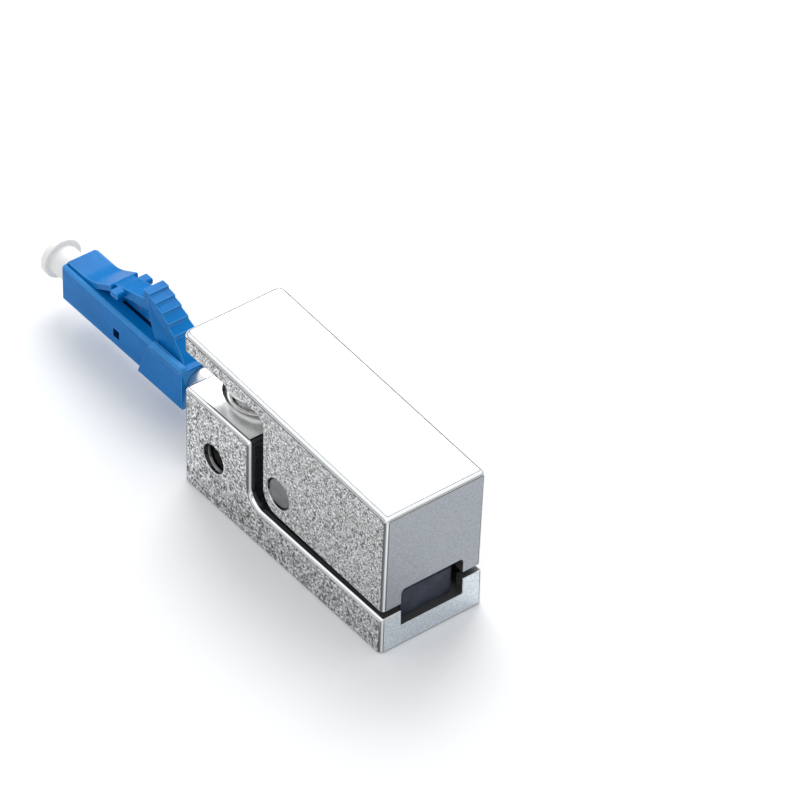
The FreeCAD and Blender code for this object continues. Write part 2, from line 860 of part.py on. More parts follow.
def check_and_export(parts):
    """Refuse any object that didn't build, then write one STEP file for each sub-part."""
    doc.recompute()
    for item in doc.Objects:
        if "Invalid" in item.State or "Error" in item.State:
            raise RuntimeError(f"{item.Label} is in state {item.State}")
    os.makedirs("parts", exist_ok=True)
    for part in parts:
        if part.Shape.isNull() or not part.Shape.isValid():
            raise RuntimeError(f"{part.Label} has no valid shape")
        part.Shape.exportStep(f"parts/{part.Label}.step")
        print(part.Label, len(part.Shape.Solids), round(part.Shape.Volume, 2))


parts = [
    base_body(),
    pivot_pin(),
    clamp_lever(),
    lever_spring(),
    *pads(),
    groove_plate(),
    guide_tube(),
    crimp_body(),
    plug_housing(),
    plug_clip(),
    *ferrule_group(),
    ferrule_spring(),
    dust_cap(),
]
check_and_export(parts)
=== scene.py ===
import json
import math

import bmesh
import bpy
from mathutils import Matrix, Quaternion, Vector
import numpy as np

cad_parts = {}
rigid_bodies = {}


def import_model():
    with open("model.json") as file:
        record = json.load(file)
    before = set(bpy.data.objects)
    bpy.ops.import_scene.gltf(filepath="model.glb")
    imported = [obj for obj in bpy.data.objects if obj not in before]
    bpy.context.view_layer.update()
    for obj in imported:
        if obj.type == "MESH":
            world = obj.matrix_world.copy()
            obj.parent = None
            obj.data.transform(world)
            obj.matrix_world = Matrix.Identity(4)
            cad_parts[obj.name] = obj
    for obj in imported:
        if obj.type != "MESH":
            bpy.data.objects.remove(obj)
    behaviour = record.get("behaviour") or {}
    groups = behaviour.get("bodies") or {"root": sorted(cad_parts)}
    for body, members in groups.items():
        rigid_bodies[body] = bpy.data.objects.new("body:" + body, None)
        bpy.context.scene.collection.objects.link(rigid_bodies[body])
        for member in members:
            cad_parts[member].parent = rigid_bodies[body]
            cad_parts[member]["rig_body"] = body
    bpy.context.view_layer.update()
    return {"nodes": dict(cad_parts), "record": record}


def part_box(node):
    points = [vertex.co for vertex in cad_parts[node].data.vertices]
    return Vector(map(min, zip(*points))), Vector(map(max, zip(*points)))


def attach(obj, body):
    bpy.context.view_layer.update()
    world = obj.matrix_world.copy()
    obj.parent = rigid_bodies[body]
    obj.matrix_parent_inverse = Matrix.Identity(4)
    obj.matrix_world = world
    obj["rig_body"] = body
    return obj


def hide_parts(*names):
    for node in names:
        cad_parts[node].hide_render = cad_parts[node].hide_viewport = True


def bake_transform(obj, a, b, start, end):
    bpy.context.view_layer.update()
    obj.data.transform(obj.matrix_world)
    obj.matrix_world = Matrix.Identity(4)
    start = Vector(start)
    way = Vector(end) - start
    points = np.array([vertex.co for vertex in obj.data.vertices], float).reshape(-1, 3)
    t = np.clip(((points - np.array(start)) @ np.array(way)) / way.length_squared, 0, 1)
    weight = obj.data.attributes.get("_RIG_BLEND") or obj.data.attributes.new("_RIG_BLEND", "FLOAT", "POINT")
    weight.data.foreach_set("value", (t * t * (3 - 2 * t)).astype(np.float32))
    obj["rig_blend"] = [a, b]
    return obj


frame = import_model()
MM = 0.001

# ---- The clamp's base ---------------------------------------------------------------------------
# A zinc casting: a tall front block, low rails, a tray between them and a notched rear wall. It is
# nickel plated over its cast skin, so the sides keep a coarse grain and the upper faces are smooth.


class Value:
    """A socket of a finish; Python arithmetic on it adds Math nodes."""

    def __init__(self, finish, socket):
        self.finish = finish
        self.socket = socket

    def maths(self, operation, first, second=0.0):
        """Adds one Math node."""
        return self.finish.node("ShaderNodeMath", {"operation": operation}, {0: first, 1: second})

    def __add__(self, other):
        return self.maths("ADD", self, other)

    def __radd__(self, other):
        return self.maths("ADD", other, self)

    def __sub__(self, other):
        return self.maths("SUBTRACT", self, other)

    def __rsub__(self, other):
        return self.maths("SUBTRACT", other, self)

    def __mul__(self, other):
        return self.maths("MULTIPLY", self, other)

    def __rmul__(self, other):
        return self.maths("MULTIPLY", other, self)

    def __abs__(self):
        return self.maths("ABSOLUTE", self)

    def rise(self, low, high):
        """Goes smoothly from 0 to 1 as the value goes from low to high."""
        settings = {"interpolation_type": "SMOOTHSTEP", "clamp": True}
        sockets = {"Value": self, "From Min": low, "From Max": high}
        return self.finish.node("ShaderNodeMapRange", settings, sockets)


class Finish:
    """A material with one Principled shader; constants go on the shader's own sockets."""

    def __init__(self, name, **constants):
        self.material = bpy.data.materials.new(name)
        self.material.use_nodes = True
        self.nodes = self.material.node_tree.nodes
        self.links = self.material.node_tree.links
        self.shader = self.nodes["Principled BSDF"]
        self.feed(**constants)

    def join(self, value, socket):
        """Links a value to a socket, or sets a plain number or colour on it."""
        if isinstance(value, Value):
            self.links.new(value.socket, socket)
        else:
            socket.default_value = value

    def node(self, kind, settings, sockets, output=0):
        """Adds one node: its type, its settings, then the values or links of its sockets."""
        made = self.nodes.new(kind)
        for setting, value in settings.items():
            setattr(made, setting, value)
        for socket, value in sockets.items():
            self.join(value, made.inputs[socket])
        return Value(self, made.outputs[output])

    def feed(self, **sockets):
        """Joins values to the shader's sockets, whose spaces are written as underscores."""
        for name, value in sockets.items():
            self.join(value, self.shader.inputs[name.replace("_", " ")])

    def place(self, stretch):
        """The point on the piece, with a pattern drawn out along each axis by its stretch."""
        point = self.node("ShaderNodeTexCoord", {}, {}, "Object")
        scale = tuple(1 / part for part in stretch)
        return self.node("ShaderNodeMapping", {}, {"Vector": point, "Scale": scale})

    def facing(self, axis):
        """How far the surface looks along an axis of the piece, from -1 to 1."""
        normal = self.node("ShaderNodeTexCoord", {}, {}, "Normal")
        return self.node("ShaderNodeSeparateXYZ", {}, {"Vector": normal}, axis)

    def edge(self):
        """0 where the surface faces squarely along X, Y or Z, and more where it is rounded."""
        x, y, z = (abs(self.facing(axis)) for axis in "XYZ")
        return 1 - x.maths("MAXIMUM", x.maths("MAXIMUM", x, y), z)

    def mark(self, name):
        """A number that the faces carry, such as 1 inside a hollow."""
        return self.node("ShaderNodeAttribute", {"attribute_name": name}, {}, "Fac")

    def mottle(self, size, detail=2.0, stretch=(1, 1, 1), seed=0.0):
        """Soft patches about size across, from 0 to 1."""
        sockets = {"Vector": self.place(stretch), "W": seed, "Scale": 1 / size, "Detail": detail}
        return self.node("ShaderNodeTexNoise", {"noise_dimensions": "4D"}, sockets)

    def blend(self, share, first, second):
        """Colour that goes from first to second with the share; sockets 6 and 7 are the colours."""
        return self.node("ShaderNodeMix", {"data_type": "RGBA"}, {0: share, 6: first, 7: second}, 2)

    def relief(self, height, depth):
        """The normal of a surface whose height, from 0 to 1, is depth tall."""
        return self.node("ShaderNodeBump", {}, {"Distance": depth, "Height": height}, "Normal")


def grey(level, warmth=0.0):
    """A grey, made warmer or, below 0, cooler."""
    return (level * (1 + warmth), level, level * (1 - warmth), 1.0)


SQUARE_ON = (0.9, 0.99)
CLOUDS = (0.3, 0.7)
GRAINS = (0.41, 0.59)
FLECK_AND_PAINTED_LIGHT = grey(1.0)
LIT_TOP_AND_HIGHLIGHT = grey(0.9)
IN_SHADE = grey(0.03, -0.1)
COOL_REFLECTION_TINT = (0.93, 1.0, 1.07)


def plated_casting(name, grain_size, pitting, end_level):
    """Nickel over a cast skin: grained on its sides, smooth and painted light on top, with painted
    highlights and painted shade round its edges.
    """
    finish = Finish(name, Metallic=1.0)

    # Where each look lies: upper and end faces, rounded edges, the crease along them, the grain.
    up = finish.facing("Z")
    across = abs(finish.facing("Y"))
    upright = 1 - abs(up).rise(0.05, 0.3)
    lying = up.rise(*SQUARE_ON)
    end_on = abs(finish.facing("X")).rise(*SQUARE_ON)
    turn = finish.edge()
    edge = turn.rise(0.004, 0.03)
    crease = turn.rise(0.001, 0.004) * (1 - turn.rise(0.04, 0.09))
    cast = (1 - lying) * (1 - edge)
    seat, hollow = finish.mark("seat"), finish.mark("hollow")

    # The cast grain, with bright flecks in it, and the slow unevenness of the plating.
    grain = finish.mottle(grain_size, 1.0)
    specks = finish.mottle(0.55 * grain_size, 1.0, seed=3.0)
    fine = finish.mottle(0.5 * grain_size, 2.0, seed=9.0)
    broad = finish.mottle(4 * MM, 2.0, seed=7.0)
    ripple = finish.mottle(0.7 * MM, 2.0, seed=11.0)
    skin = 0.5 * grain.rise(*GRAINS) + 0.5 * specks.rise(*GRAINS)
    flecks = specks.rise(0.58, 0.66)

    # The faces: pitted sides, and ends of a finer grain, whose cool tint and grey level are a painted
    # reflection.
    side = finish.blend(flecks, finish.blend(skin, grey(0.06), grey(0.82)), FLECK_AND_PAINTED_LIGHT)
    dull_end = (*(0.84 * end_level * part for part in COOL_REFLECTION_TINT), 1)
    bright_end = (*(1.12 * end_level * part for part in COOL_REFLECTION_TINT), 1)
    end = finish.blend(fine.rise(*CLOUDS), dull_end, bright_end)
    plain = finish.blend(end_on, side, end)

    # The edges: a painted highlight on the rims, painted shade on the upright corners towards the
    # sides, and a painted dark line beside each.
    rim = finish.blend(up.rise(0.05, 0.45), grey(0.56, -0.02), LIT_TOP_AND_HIGHLIGHT)
    corner = finish.blend(across.rise(0.55, 0.85), grey(0.85, -0.02), grey(0.13, -0.03))
    line = finish.blend(upright, grey(0.11, -0.03), grey(0.08, -0.03))
    rounded = finish.blend(crease, finish.blend(upright, rim, corner), line)

    # Flat upper faces are smooth and painted in the light grey of the highlights, lighter than the grained
    # sides.
    shown = finish.blend(cast, finish.blend(lying, rounded, LIT_TOP_AND_HIGHLIGHT), plain)
    # A painted dark line also runs along the crease where the upper faces meet their rims.
    shown = finish.blend(crease * lying, shown, line)
    shown = finish.blend(0.1 * broad, shown, grey(0.5))
    # Hollow faces, in the tapped hole and between the rails and cheeks, are painted near black as painted
    # shade.
    shown = finish.blend(0.88 * hollow, shown, IN_SHADE)
    finish.feed(
        # The seat faces are painted plain white, painted light on the stub inside the spring.
        Base_Color=finish.blend(seat, shown, FLECK_AND_PAINTED_LIGHT),
        Roughness=0.20 + 0.12 * cast + 0.1 * (skin * cast) + 0.5 * (seat + hollow),
        Normal=finish.relief(
            skin * cast * (1 - 0.85 * end_on) + 0.05 * broad + 0.12 * ripple, pitting
        ),
    )
    return finish


WELD = 0.001 * MM
FLAT = math.radians(0.6)
SHARP = math.radians(35)


def finished(shape, name, body, finish, *nodes):
    """Turns a bmesh into a piece that rides on a body and stands for CAD nodes."""
    for face in shape.faces:
        face.smooth = True
    mesh = bpy.data.meshes.new(name)
    shape.to_mesh(mesh)
    shape.free()
    mesh.set_sharp_from_angle(angle=SHARP)
    mesh.materials.append(finish.material)
    piece = bpy.data.objects.new(name, mesh)
    bpy.context.scene.collection.objects.link(piece)
    piece.modifiers.new("true_flats", "WEIGHTED_NORMAL").keep_sharp = True
    if body:
        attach(piece, body)
    if nodes:
        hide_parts(*nodes)
    return piece


def round_off(shape, edges, radius, segments=2):
    """Rounds some edges and returns the new faces."""
    made = bmesh.ops.bevel(
        shape, geom=edges, offset=radius, offset_type="OFFSET", affect="EDGES",
        segments=segments, profile=0.5, material=-1, clamp_overlap=False,
    )
    return made["faces"]


def sharp_edges(shape):
    """The edges where two faces meet at more than a slight angle."""
    return [edge for edge in shape.edges if edge.is_manifold and edge.calc_face_angle() > SHARP]


def mark_faces(shape, name, faces):
    """Gives faces a number that the finish reads."""
    layer = shape.faces.layers.float[name]
    for face in faces:
        if face.is_valid:
            face[layer] = 1.0


def dressed(node, name, finish, rounding, segments=2, **marks):
    """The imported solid's mesh, its seams welded, its flats joined and its sharp edges rounded.

    Each mark is a name with a test, and the faces that pass it carry that mark.
    """
    solid = frame["nodes"][node]
    shape = bmesh.new()
    shape.from_mesh(solid.data)
    bmesh.ops.remove_doubles(shape, verts=shape.verts, dist=WELD)
    bmesh.ops.dissolve_limit(shape, angle_limit=FLAT, verts=shape.verts, edges=shape.edges)
    round_off(shape, sharp_edges(shape), rounding, segments)
    # Every layer comes before the first face is picked, because a new one loses the faces in hand.
    for mark in marks:
        shape.faces.layers.float.new(mark)
    for mark, test in marks.items():
        mark_faces(shape, mark, [face for face in shape.faces if test(face)])
    return finished(shape, name, solid["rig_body"], finish, node)


screw_hole = next(item for item in frame["record"]["mounts"] if item["name"] == "tapped_hole")
hole_out = Vector(screw_hole["axis"])
hole_radius = screw_hole["dims"]["r_mm"] * MM
hole_middle = Vector(screw_hole["pos_m"])
base_low, base_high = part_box("base_body")
spring_low, spring_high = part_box("lever_spring")
coil_centre = (spring_low + spring_high) / 2
JUST_INSIDE = 0.02 * MM
FACE_SKIN = 0.1 * MM
RAIL_SKIN = 0.4 * MM
TRAY_START = 0.35 * base_low.x
CORE_REACH = 3.15 * MM


def inside_base(face):
    """In the tapped hole, or between the rails, where the finish paints shade."""
    point = face.calc_center_median_weighted()
    from_axis = (point - hole_middle) - hole_out * (point - hole_middle).dot(hole_out)
    in_hole = base_low.y + FACE_SKIN < point.y < 0 and from_axis.length < hole_radius + JUST_INSIDE
    between_rails = abs(point.y) < base_high.y - RAIL_SKIN
    in_tray = between_rails and TRAY_START < point.x < base_high.x - FACE_SKIN
    return in_hole or in_tray


def on_spring_core(face):
    """On the side of the stub inside the lever's spring, which is painted white as painted light."""
    point = face.calc_center_median_weighted()
    away = (point - coil_centre).xy.length
    return away < CORE_REACH and spring_low.z < point.z < base_high.z - JUST_INSIDE


BASE_GRAIN = 0.34 * MM
BASE_PITTING = 0.05 * MM
# The end faces' grey level is a painted reflection, set lighter on the base than on the lever.
BASE_END_GREY = 0.72
BASE_ROUND = 0.08 * MM
base_finish = plated_casting("cast_nickel_base", BASE_GRAIN, BASE_PITTING, BASE_END_GREY)
base = dressed(
    "base_body", "base_casting", base_finish, BASE_ROUND, hollow=inside_base, seat=on_spring_core,
)

# ---- The thread in the base's side --------------------------------------------------------------
# The tapped hole takes a small holding screw. Its thread is cut straight into the casting, so the
# first crests are bright bare metal, and the turns further in are painted dark as painted shade.

THREAD_PITCH = 0.7 * MM
THREAD_TURNS = 3.6
THREAD_STEPS = 28
THREAD_DEPTH = 0.22 * MM
HALF_ROOT = 0.42 * THREAD_PITCH
HALF_CREST = 0.06 * THREAD_PITCH
SHADE_START = 0.15 * MM
SHADE_END = 0.8 * MM
FIRST_CREST = grey(0.55)
DEEP_CREST_SHADE = grey(0.015)
UP = Vector((0, 0, 1))


def spin(shape, geometry, centre, axis, turns, steps, climb=0.0):
    """Spins geometry about an axis, climbing along it, and returns the last step's geometry."""
    made = bmesh.ops.spin(
        shape, geom=geometry, cent=centre, axis=axis, dvec=axis * climb / steps,
        angle=turns * math.tau, steps=steps, use_merge=climb == 0 and turns == 1,
    )
    return made["geom_last"]


def close_up(shape):
    """Fills the open ends, joins what meets and turns the faces outwards."""
    bmesh.ops.remove_doubles(shape, verts=shape.verts, dist=WELD)
    bmesh.ops.holes_fill(shape, edges=shape.edges, sides=0)
    bmesh.ops.recalc_face_normals(shape, faces=shape.faces)


def profile_line(shape, points, closed=False):
    """A line of edges through points in the row frame."""
    corners = [shape.verts.new(point) for point in points]
    edges = [shape.edges.new(pair) for pair in zip(corners, corners[1:])]
    if closed:
        edges.append(shape.edges.new((corners[-1], corners[0])))
    return corners + edges


thread_start = hole_middle + hole_out * (THREAD_TURNS * THREAD_PITCH / 2)
root = UP * (hole_radius + JUST_INSIDE)
crest = root - UP * THREAD_DEPTH
thread = bmesh.new()
ridge = profile_line(
    thread,
    [
        thread_start + root + hole_out * HALF_ROOT,
        thread_start + crest + hole_out * HALF_CREST,
        thread_start + crest - hole_out * HALF_CREST,
        thread_start + root - hole_out * HALF_ROOT,
    ],
    closed=True,
)
spin(
    thread, ridge, thread_start, -hole_out, THREAD_TURNS,
    round(THREAD_TURNS * THREAD_STEPS), THREAD_TURNS * THREAD_PITCH,
)
close_up(thread)
thread_finish = Finish("thread_crests", Metallic=1.0)
thread_lines = thread_finish.mottle(0.06 * MM, 3.0)
thread_point = thread_finish.place((1, 1, 1))
depth_in = thread_finish.node("ShaderNodeSeparateXYZ", {}, {"Vector": thread_point}, "Y")
# Painted shade: the crests turn dark deeper into the hole.
sunk = depth_in.rise(base_low.y + SHADE_START, base_low.y + SHADE_END)
thread_finish.feed(
    Base_Color=thread_finish.blend(sunk, FIRST_CREST, DEEP_CREST_SHADE),
    Roughness=0.2 + 0.1 * thread_lines,
    Normal=thread_finish.relief(thread_lines, 0.004 * MM),
)
thread_piece = finished(thread, "tapped_thread", "clamp_base", thread_finish)

# ---- The pivot pin ------------------------------------------------------------------------------
# A ground steel pin pressed through the base's lugs. Its ends sit flush in the lever's cheeks and
# were left as sawn and faced, so they are a matt darker grey with a small bright chamfer.

PIN_CHAMFER = 0.16 * MM
FACED_DARK = grey(0.18, -0.03)
FACED_LIGHT = grey(0.26, -0.03)
ACROSS = Vector((0, 1, 0))


def turned(points, centre, axis, steps=64):
    """A turned piece: its profile, as (distance along the axis, radius) points, spun full round."""
    shape = bmesh.new()
    side = axis.orthogonal().normalized()
    line = profile_line(shape, [centre + axis * along + side * radius for along, radius in points])
    spin(shape, line, centre, axis, 1, steps)
    close_up(shape)
    return shape


pin_low, pin_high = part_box("pivot_pin")
pin_middle = (pin_low + pin_high) / 2
pin_half = (pin_high.y - pin_low.y) / 2
pin_radius = (pin_high.z - pin_low.z) / 2
pin_profile = [
    (-pin_half, 0),
    (-pin_half, pin_radius - PIN_CHAMFER),
    (PIN_CHAMFER - pin_half, pin_radius),
    (pin_half - PIN_CHAMFER, pin_radius),
    (pin_half, pin_radius - PIN_CHAMFER),
    (pin_half, 0),
]
pin_finish = Finish("faced_steel", Metallic=1.0)
pin_lines = pin_finish.mottle(0.05 * MM, 3.0, (8, 1, 1))
pin_blotch = pin_finish.mottle(0.9 * MM, 3.0, seed=4.0)
pin_finish.feed(
    Base_Color=pin_finish.blend(pin_blotch.rise(*CLOUDS), FACED_DARK, FACED_LIGHT),
    Roughness=0.48 + 0.16 * pin_lines,
    Normal=pin_finish.relief(pin_lines + pin_blotch, 0.006 * MM),
)
pin = finished(
    turned(pin_profile, pin_middle, ACROSS),
    "pivot_pin_steel", "clamp_base", pin_finish, "pivot_pin",
)

# ---- The lever ----------------------------------------------------------------------------------
# A hollow zinc casting with a long thumb plate and two cheeks, plated like the base. Its skin is
# finer than the base's, and the thumb plate's top, like all its upper faces, is smooth and painted light.

LEVER_GRAIN = 0.27 * MM
LEVER_PITTING = 0.04 * MM
# The lever's end faces are painted darker, a painted reflection level.
LEVER_END_GREY = 0.36
LEVER_ROUND = 0.07 * MM
CHEEK_SKIN = 0.5 * MM
ROOF_SKIN = 1.9 * MM
HOLLOW_START = 0.1 * base_low.x
GAP_START = 0.4 * base_low.x
lever_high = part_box("clamp_lever")[1]


def inside_lever(face):
    """Between the cheeks, under the roof, in the rear notch or in the gap before them: painted shade."""
    point = face.calc_center_median_weighted()
    between = abs(point.y) < lever_high.y - CHEEK_SKIN and point.x > HOLLOW_START
    in_gap = GAP_START < point.x < 0 and min(face.normal.x, face.normal.z) < -0.3
    return (between and face.normal.x < 0.9 or in_gap) and point.z < lever_high.z - ROOF_SKIN


lever_finish = plated_casting("cast_nickel_lever", LEVER_GRAIN, LEVER_PITTING, LEVER_END_GREY)
lever = dressed("clamp_lever", "lever_casting", lever_finish, LEVER_ROUND, hollow=inside_lever)

# ---- The lever's spring -------------------------------------------------------------------------
# A compression spring of bright round wire with closed ends. Its foot stands in the ring groove of
# the front block and its head bears on the thumb plate, round a short spigot.

SPRING_WIRE = 0.7 * MM
CLOSED_TURNS = 1.0
SPRING_TURNS = 5
COIL_STEPS = 40
WIRE_SIDES = 14


def cut_metal(name, level, roughness, line, stretch):
    """Bare turned or ground metal with fine tool lines drawn out along a stretch."""
    finish = Finish(name, Metallic=1.0)
    tooling = finish.mottle(line, 3.0, stretch)
    haze = finish.mottle(1.5 * MM, 2.0, seed=2.0)
    finish.feed(
        Base_Color=finish.blend(tooling.rise(*CLOUDS), grey(0.8 * level, 0.01), grey(level, 0.01)),
        Roughness=roughness + 0.12 * haze,
        Normal=finish.relief(tooling, 0.004 * MM),
    )
    return finish


def wound(low, high, axis, wire, turns):
    """A compression spring that fills a box: a closed turn, open turns, and a closed turn."""
    middle = (low + high) / 2
    length = abs((high - low).dot(axis))
    side = axis.orthogonal().normalized()
    radius = min(size for size in high - low if abs(size - length) > WELD) / 2 - wire / 2
    foot = middle - axis * (length - wire) / 2
    shape = bmesh.new()
    ring = bmesh.ops.create_circle(
        shape, cap_ends=False, segments=WIRE_SIDES, radius=wire / 2,
    )["verts"]
    upright = UP.rotation_difference(axis.cross(side)).to_matrix()
    bmesh.ops.rotate(shape, verts=ring, matrix=upright)
    bmesh.ops.translate(shape, verts=ring, vec=foot + side * radius)
    geometry = shape.verts[:] + shape.edges[:]
    open_turns = turns - 2 * CLOSED_TURNS
    open_climb = length - wire - 2 * CLOSED_TURNS * wire
    closed_part = (CLOSED_TURNS, CLOSED_TURNS * wire)
    for part_turns, climb in (closed_part, (open_turns, open_climb), closed_part):
        steps = round(part_turns * COIL_STEPS)
        geometry = spin(shape, geometry, foot, axis, part_turns, steps, climb)
    close_up(shape)
    return shape


wire_finish = cut_metal("bright_wire", 0.95, 0.3, 0.08 * MM, (3, 3, 1))
lever_coil = finished(
    wound(spring_low, spring_high, UP, SPRING_WIRE, SPRING_TURNS),
    "lever_coil", None, wire_finish, "lever_spring",
)
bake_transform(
    lever_coil, "clamp_base", "lever",
    start=(coil_centre.x, 0, spring_low.z + SPRING_WIRE),
    end=(coil_centre.x, 0, spring_high.z - SPRING_WIRE),
)

# ---- The clamping pads --------------------------------------------------------------------------
# Two slate rubber pads that hold the fibre without marking it, one glued in the tray and one under
# the lever. They are moulded, so their edges are soft and their faces slightly uneven.

DARK_SLATE = (0.020, 0.026, 0.042, 1)
LIGHT_SLATE = (0.036, 0.045, 0.070, 1)
PAD_ROUND = 0.15 * MM
rubber_finish = Finish("slate_rubber", Metallic=0.0, Specular_IOR_Level=0.35)
rubber_cloud = rubber_finish.mottle(1.6 * MM, 3.0)
rubber_skin = rubber_finish.mottle(0.12 * MM, 2.0, seed=5.0)
rubber_finish.feed(
    Base_Color=rubber_finish.blend(rubber_cloud.rise(*CLOUDS), DARK_SLATE, LIGHT_SLATE),
    Roughness=0.5 + 0.25 * rubber_skin,
    Normal=rubber_finish.relief(rubber_skin + rubber_cloud, 0.02 * MM),
)
for node, name in (("upper_pad", "upper_rubber"), ("lower_pad", "lower_rubber")):
    dressed(node, name, rubber_finish, PAD_ROUND, 3)

# ---- The groove plate and guide tube ------------------------------------------------------------
# Inside the clamp a ground plate with a V-groove lines the bare fibre up with a drawn steel tube,
# whose funnel mouth leads it through the block into the plug.

ground_finish = cut_metal("ground_plate", 0.6, 0.28, 0.05 * MM, (10, 1, 1))
dressed("groove_plate", "v_groove_plate", ground_finish, 0.05 * MM)
drawn_finish = cut_metal("drawn_tube", 0.66, 0.24, 0.06 * MM, (14, 1, 1))
dressed("guide_tube", "fibre_guide", drawn_finish, 0.04 * MM)

# ---- The crimp body -----------------------------------------------------------------------------
# The turned neck that joins the plug to the clamp, brass under bright nickel. One end is pressed
# into the block and the other carries the plug's housing and clip.

neck_finish = cut_metal("turned_neck", 0.82, 0.2, 0.07 * MM, (1, 30, 30))
dressed("crimp_body", "turned_neck", neck_finish, 0.08 * MM)

# ---- The ferrule and its flange -----------------------------------------------------------------
# A white zirconia ferrule pressed into a nickel flange, with a thin liner behind it. They float
# against a small spring, so that the ferrule can seat in an adapter.

FERRULE_WIRE = 0.28 * MM
FERRULE_TURNS = 7
CERAMIC_SHADE = (0.86, 0.85, 0.80, 1)
CERAMIC_WHITE = (0.93, 0.92, 0.88, 1)
ALONG = Vector((1, 0, 0))
ceramic_finish = Finish("zirconia", IOR=2.1)
ceramic_grain = ceramic_finish.mottle(0.2 * MM, 2.0)
ceramic_finish.feed(
    Base_Color=ceramic_finish.blend(ceramic_grain, CERAMIC_SHADE, CERAMIC_WHITE),
    Roughness=0.16 + 0.08 * ceramic_grain,
    Normal=ceramic_finish.relief(ceramic_grain, 0.001 * MM),
)
dressed("ferrule", "ceramic_ferrule", ceramic_finish, 0.04 * MM)
dressed("ferrule_flange", "ferrule_collar", neck_finish, 0.05 * MM)
dressed("ferrule_tube", "ferrule_liner", drawn_finish, 0.03 * MM)
small_low, small_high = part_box("ferrule_spring")
ferrule_coil = finished(
    wound(small_low, small_high, ALONG, FERRULE_WIRE, FERRULE_TURNS),
    "ferrule_coil", None, wire_finish, "ferrule_spring",
)
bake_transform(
    ferrule_coil, "clamp_base", "ferrule_unit",
    start=(small_high.x - FERRULE_WIRE, 0, small_low.z),
    end=(small_low.x + FERRULE_WIRE, 0, small_low.z),
)

# ---- The plug's housing -------------------------------------------------------------------------
# The square blue housing of the plug with its springy latch arm, moulded in one. The arm's two side
# lugs catch behind the shoulders of the adapter that the plug goes into.

BORE_SIDES = 32
HOUSING_ROUND = 0.38 * MM
HOUSING_RIM = 0.14 * MM
MOUTH_RADIUS = 1.65 * MM
MOUTH_DEPTH = 6.0 * MM
WEB_THICKNESS = 1.0 * MM
WEB_HOLE = 0.725 * MM
BARREL_RADIUS = 1.5 * MM
WINDOW_SETBACK = 8.9 * MM
WINDOW_SIDE = 1.0 * MM
WINDOW_DEPTH = 0.7 * MM
SLOT_SETBACK = 8.3 * MM
SLOT_LENGTH = 5.05 * MM
SLOT_WIDTH = 0.4 * MM
SLOT_DEPTH = 0.6 * MM
SLOT_OFFSET = 0.5 * MM
ROOT_SETBACK = 0.2 * MM
ROOT_WIDTH = 3.45 * MM
ROOT_RISE = 0.35 * MM
ROOT_THICKNESS = 0.8 * MM
BEND_SETBACK = 4.2 * MM
KNEE_SETBACK = 7.8 * MM
KNEE_RISE = 1.95 * MM
ARM_WIDTH = 2.3 * MM
ARM_OVERLAP = 0.6 * MM
ARM_REACH = 5.65 * MM
ARM_RIM = 0.1 * MM
TIP_THICKNESS = 1.3 * MM
LUG_SETBACK = 8.4 * MM
LUG_LENGTH = 1.25 * MM
LUG_FALL = 0.6 * MM
LUG_RISE = 0.14 * MM
LUG_ROUND = 0.26 * MM
LUG_RIM = 0.12 * MM
LUG_SKIN = 0.01 * MM
LARGE_ROUNDING = 0.25 * MM
DEEP_BLUE = (0.0, 0.122, 0.37, 1)
LIGHT_BLUE = (0.002, 0.155, 0.46, 1)
HIGHLIGHT_BLUE = (0.09, 0.33, 0.68, 1)
SHADED_BLUE = (0.001, 0.012, 0.05, 1)


def moulded_plastic(name, deep, light):
    """Satin plastic with faint flow clouds and a slight orange-peel skin, with a painted highlight
    on its rims and painted shade in its hollows.
    """
    finish = Finish(name, Metallic=0.0, IOR=1.45, Specular_IOR_Level=0.09)
    flow = finish.mottle(2.6 * MM, 3.0, (2, 1, 1))
    skin = finish.mottle(0.22 * MM, 2.0, seed=6.0)
    body = finish.blend(flow.rise(0.25, 0.75), deep, light)
    # Rim faces are painted a paler blue, a painted highlight.
    rim_highlighted = finish.blend(0.45 * finish.mark("rim"), body, HIGHLIGHT_BLUE)
    finish.feed(
        Base_Color=finish.blend(0.85 * finish.mark("hollow"), rim_highlighted, SHADED_BLUE),
        Roughness=0.20 + 0.08 * skin + 0.04 * flow,
        Normal=finish.relief(0.7 * skin + flow, 0.006 * MM),
    )
    return finish


def moulding():
    """An empty shape whose faces can carry the marks that the plastic reads."""
    shape = bmesh.new()
    for mark in ("rim", "hollow"):
        shape.faces.layers.float.new(mark)
    return shape


def bar(shape, profile, width, rim, middle=0.0, segments=3):
    """A bar across the plug: its side outline, as (x, z, rounding) corners, extruded along Y."""
    old = set(shape.verts)
    corners = [shape.verts.new((x, middle - width / 2, z)) for x, z, _ in profile]
    side = shape.faces.new(corners)
    swept = bmesh.ops.extrude_face_region(shape, geom=[side])["geom"]
    moved = [item for item in swept if isinstance(item, bmesh.types.BMVert)]
    bmesh.ops.translate(shape, verts=moved, vec=(0, width, 0))
    bmesh.ops.recalc_face_normals(shape, faces=shape.faces)
    for x, z, rounding in profile:
        if rounding:
            across = [
                edge for edge in shape.edges
                if not old & set(edge.verts)
                and all(math.hypot(end.co.x - x, end.co.z - z) < WELD for end in edge.verts)
            ]
            made = round_off(shape, across, rounding, 5)
            # Small roundings carry the rim mark, which the plastic paints as a highlight.
            if rounding < LARGE_ROUNDING:
                mark_faces(shape, "rim", made)
    rims = [edge for edge in sharp_edges(shape) if not old & set(edge.verts)]
    mark_faces(shape, "rim", round_off(shape, rims, rim, segments))


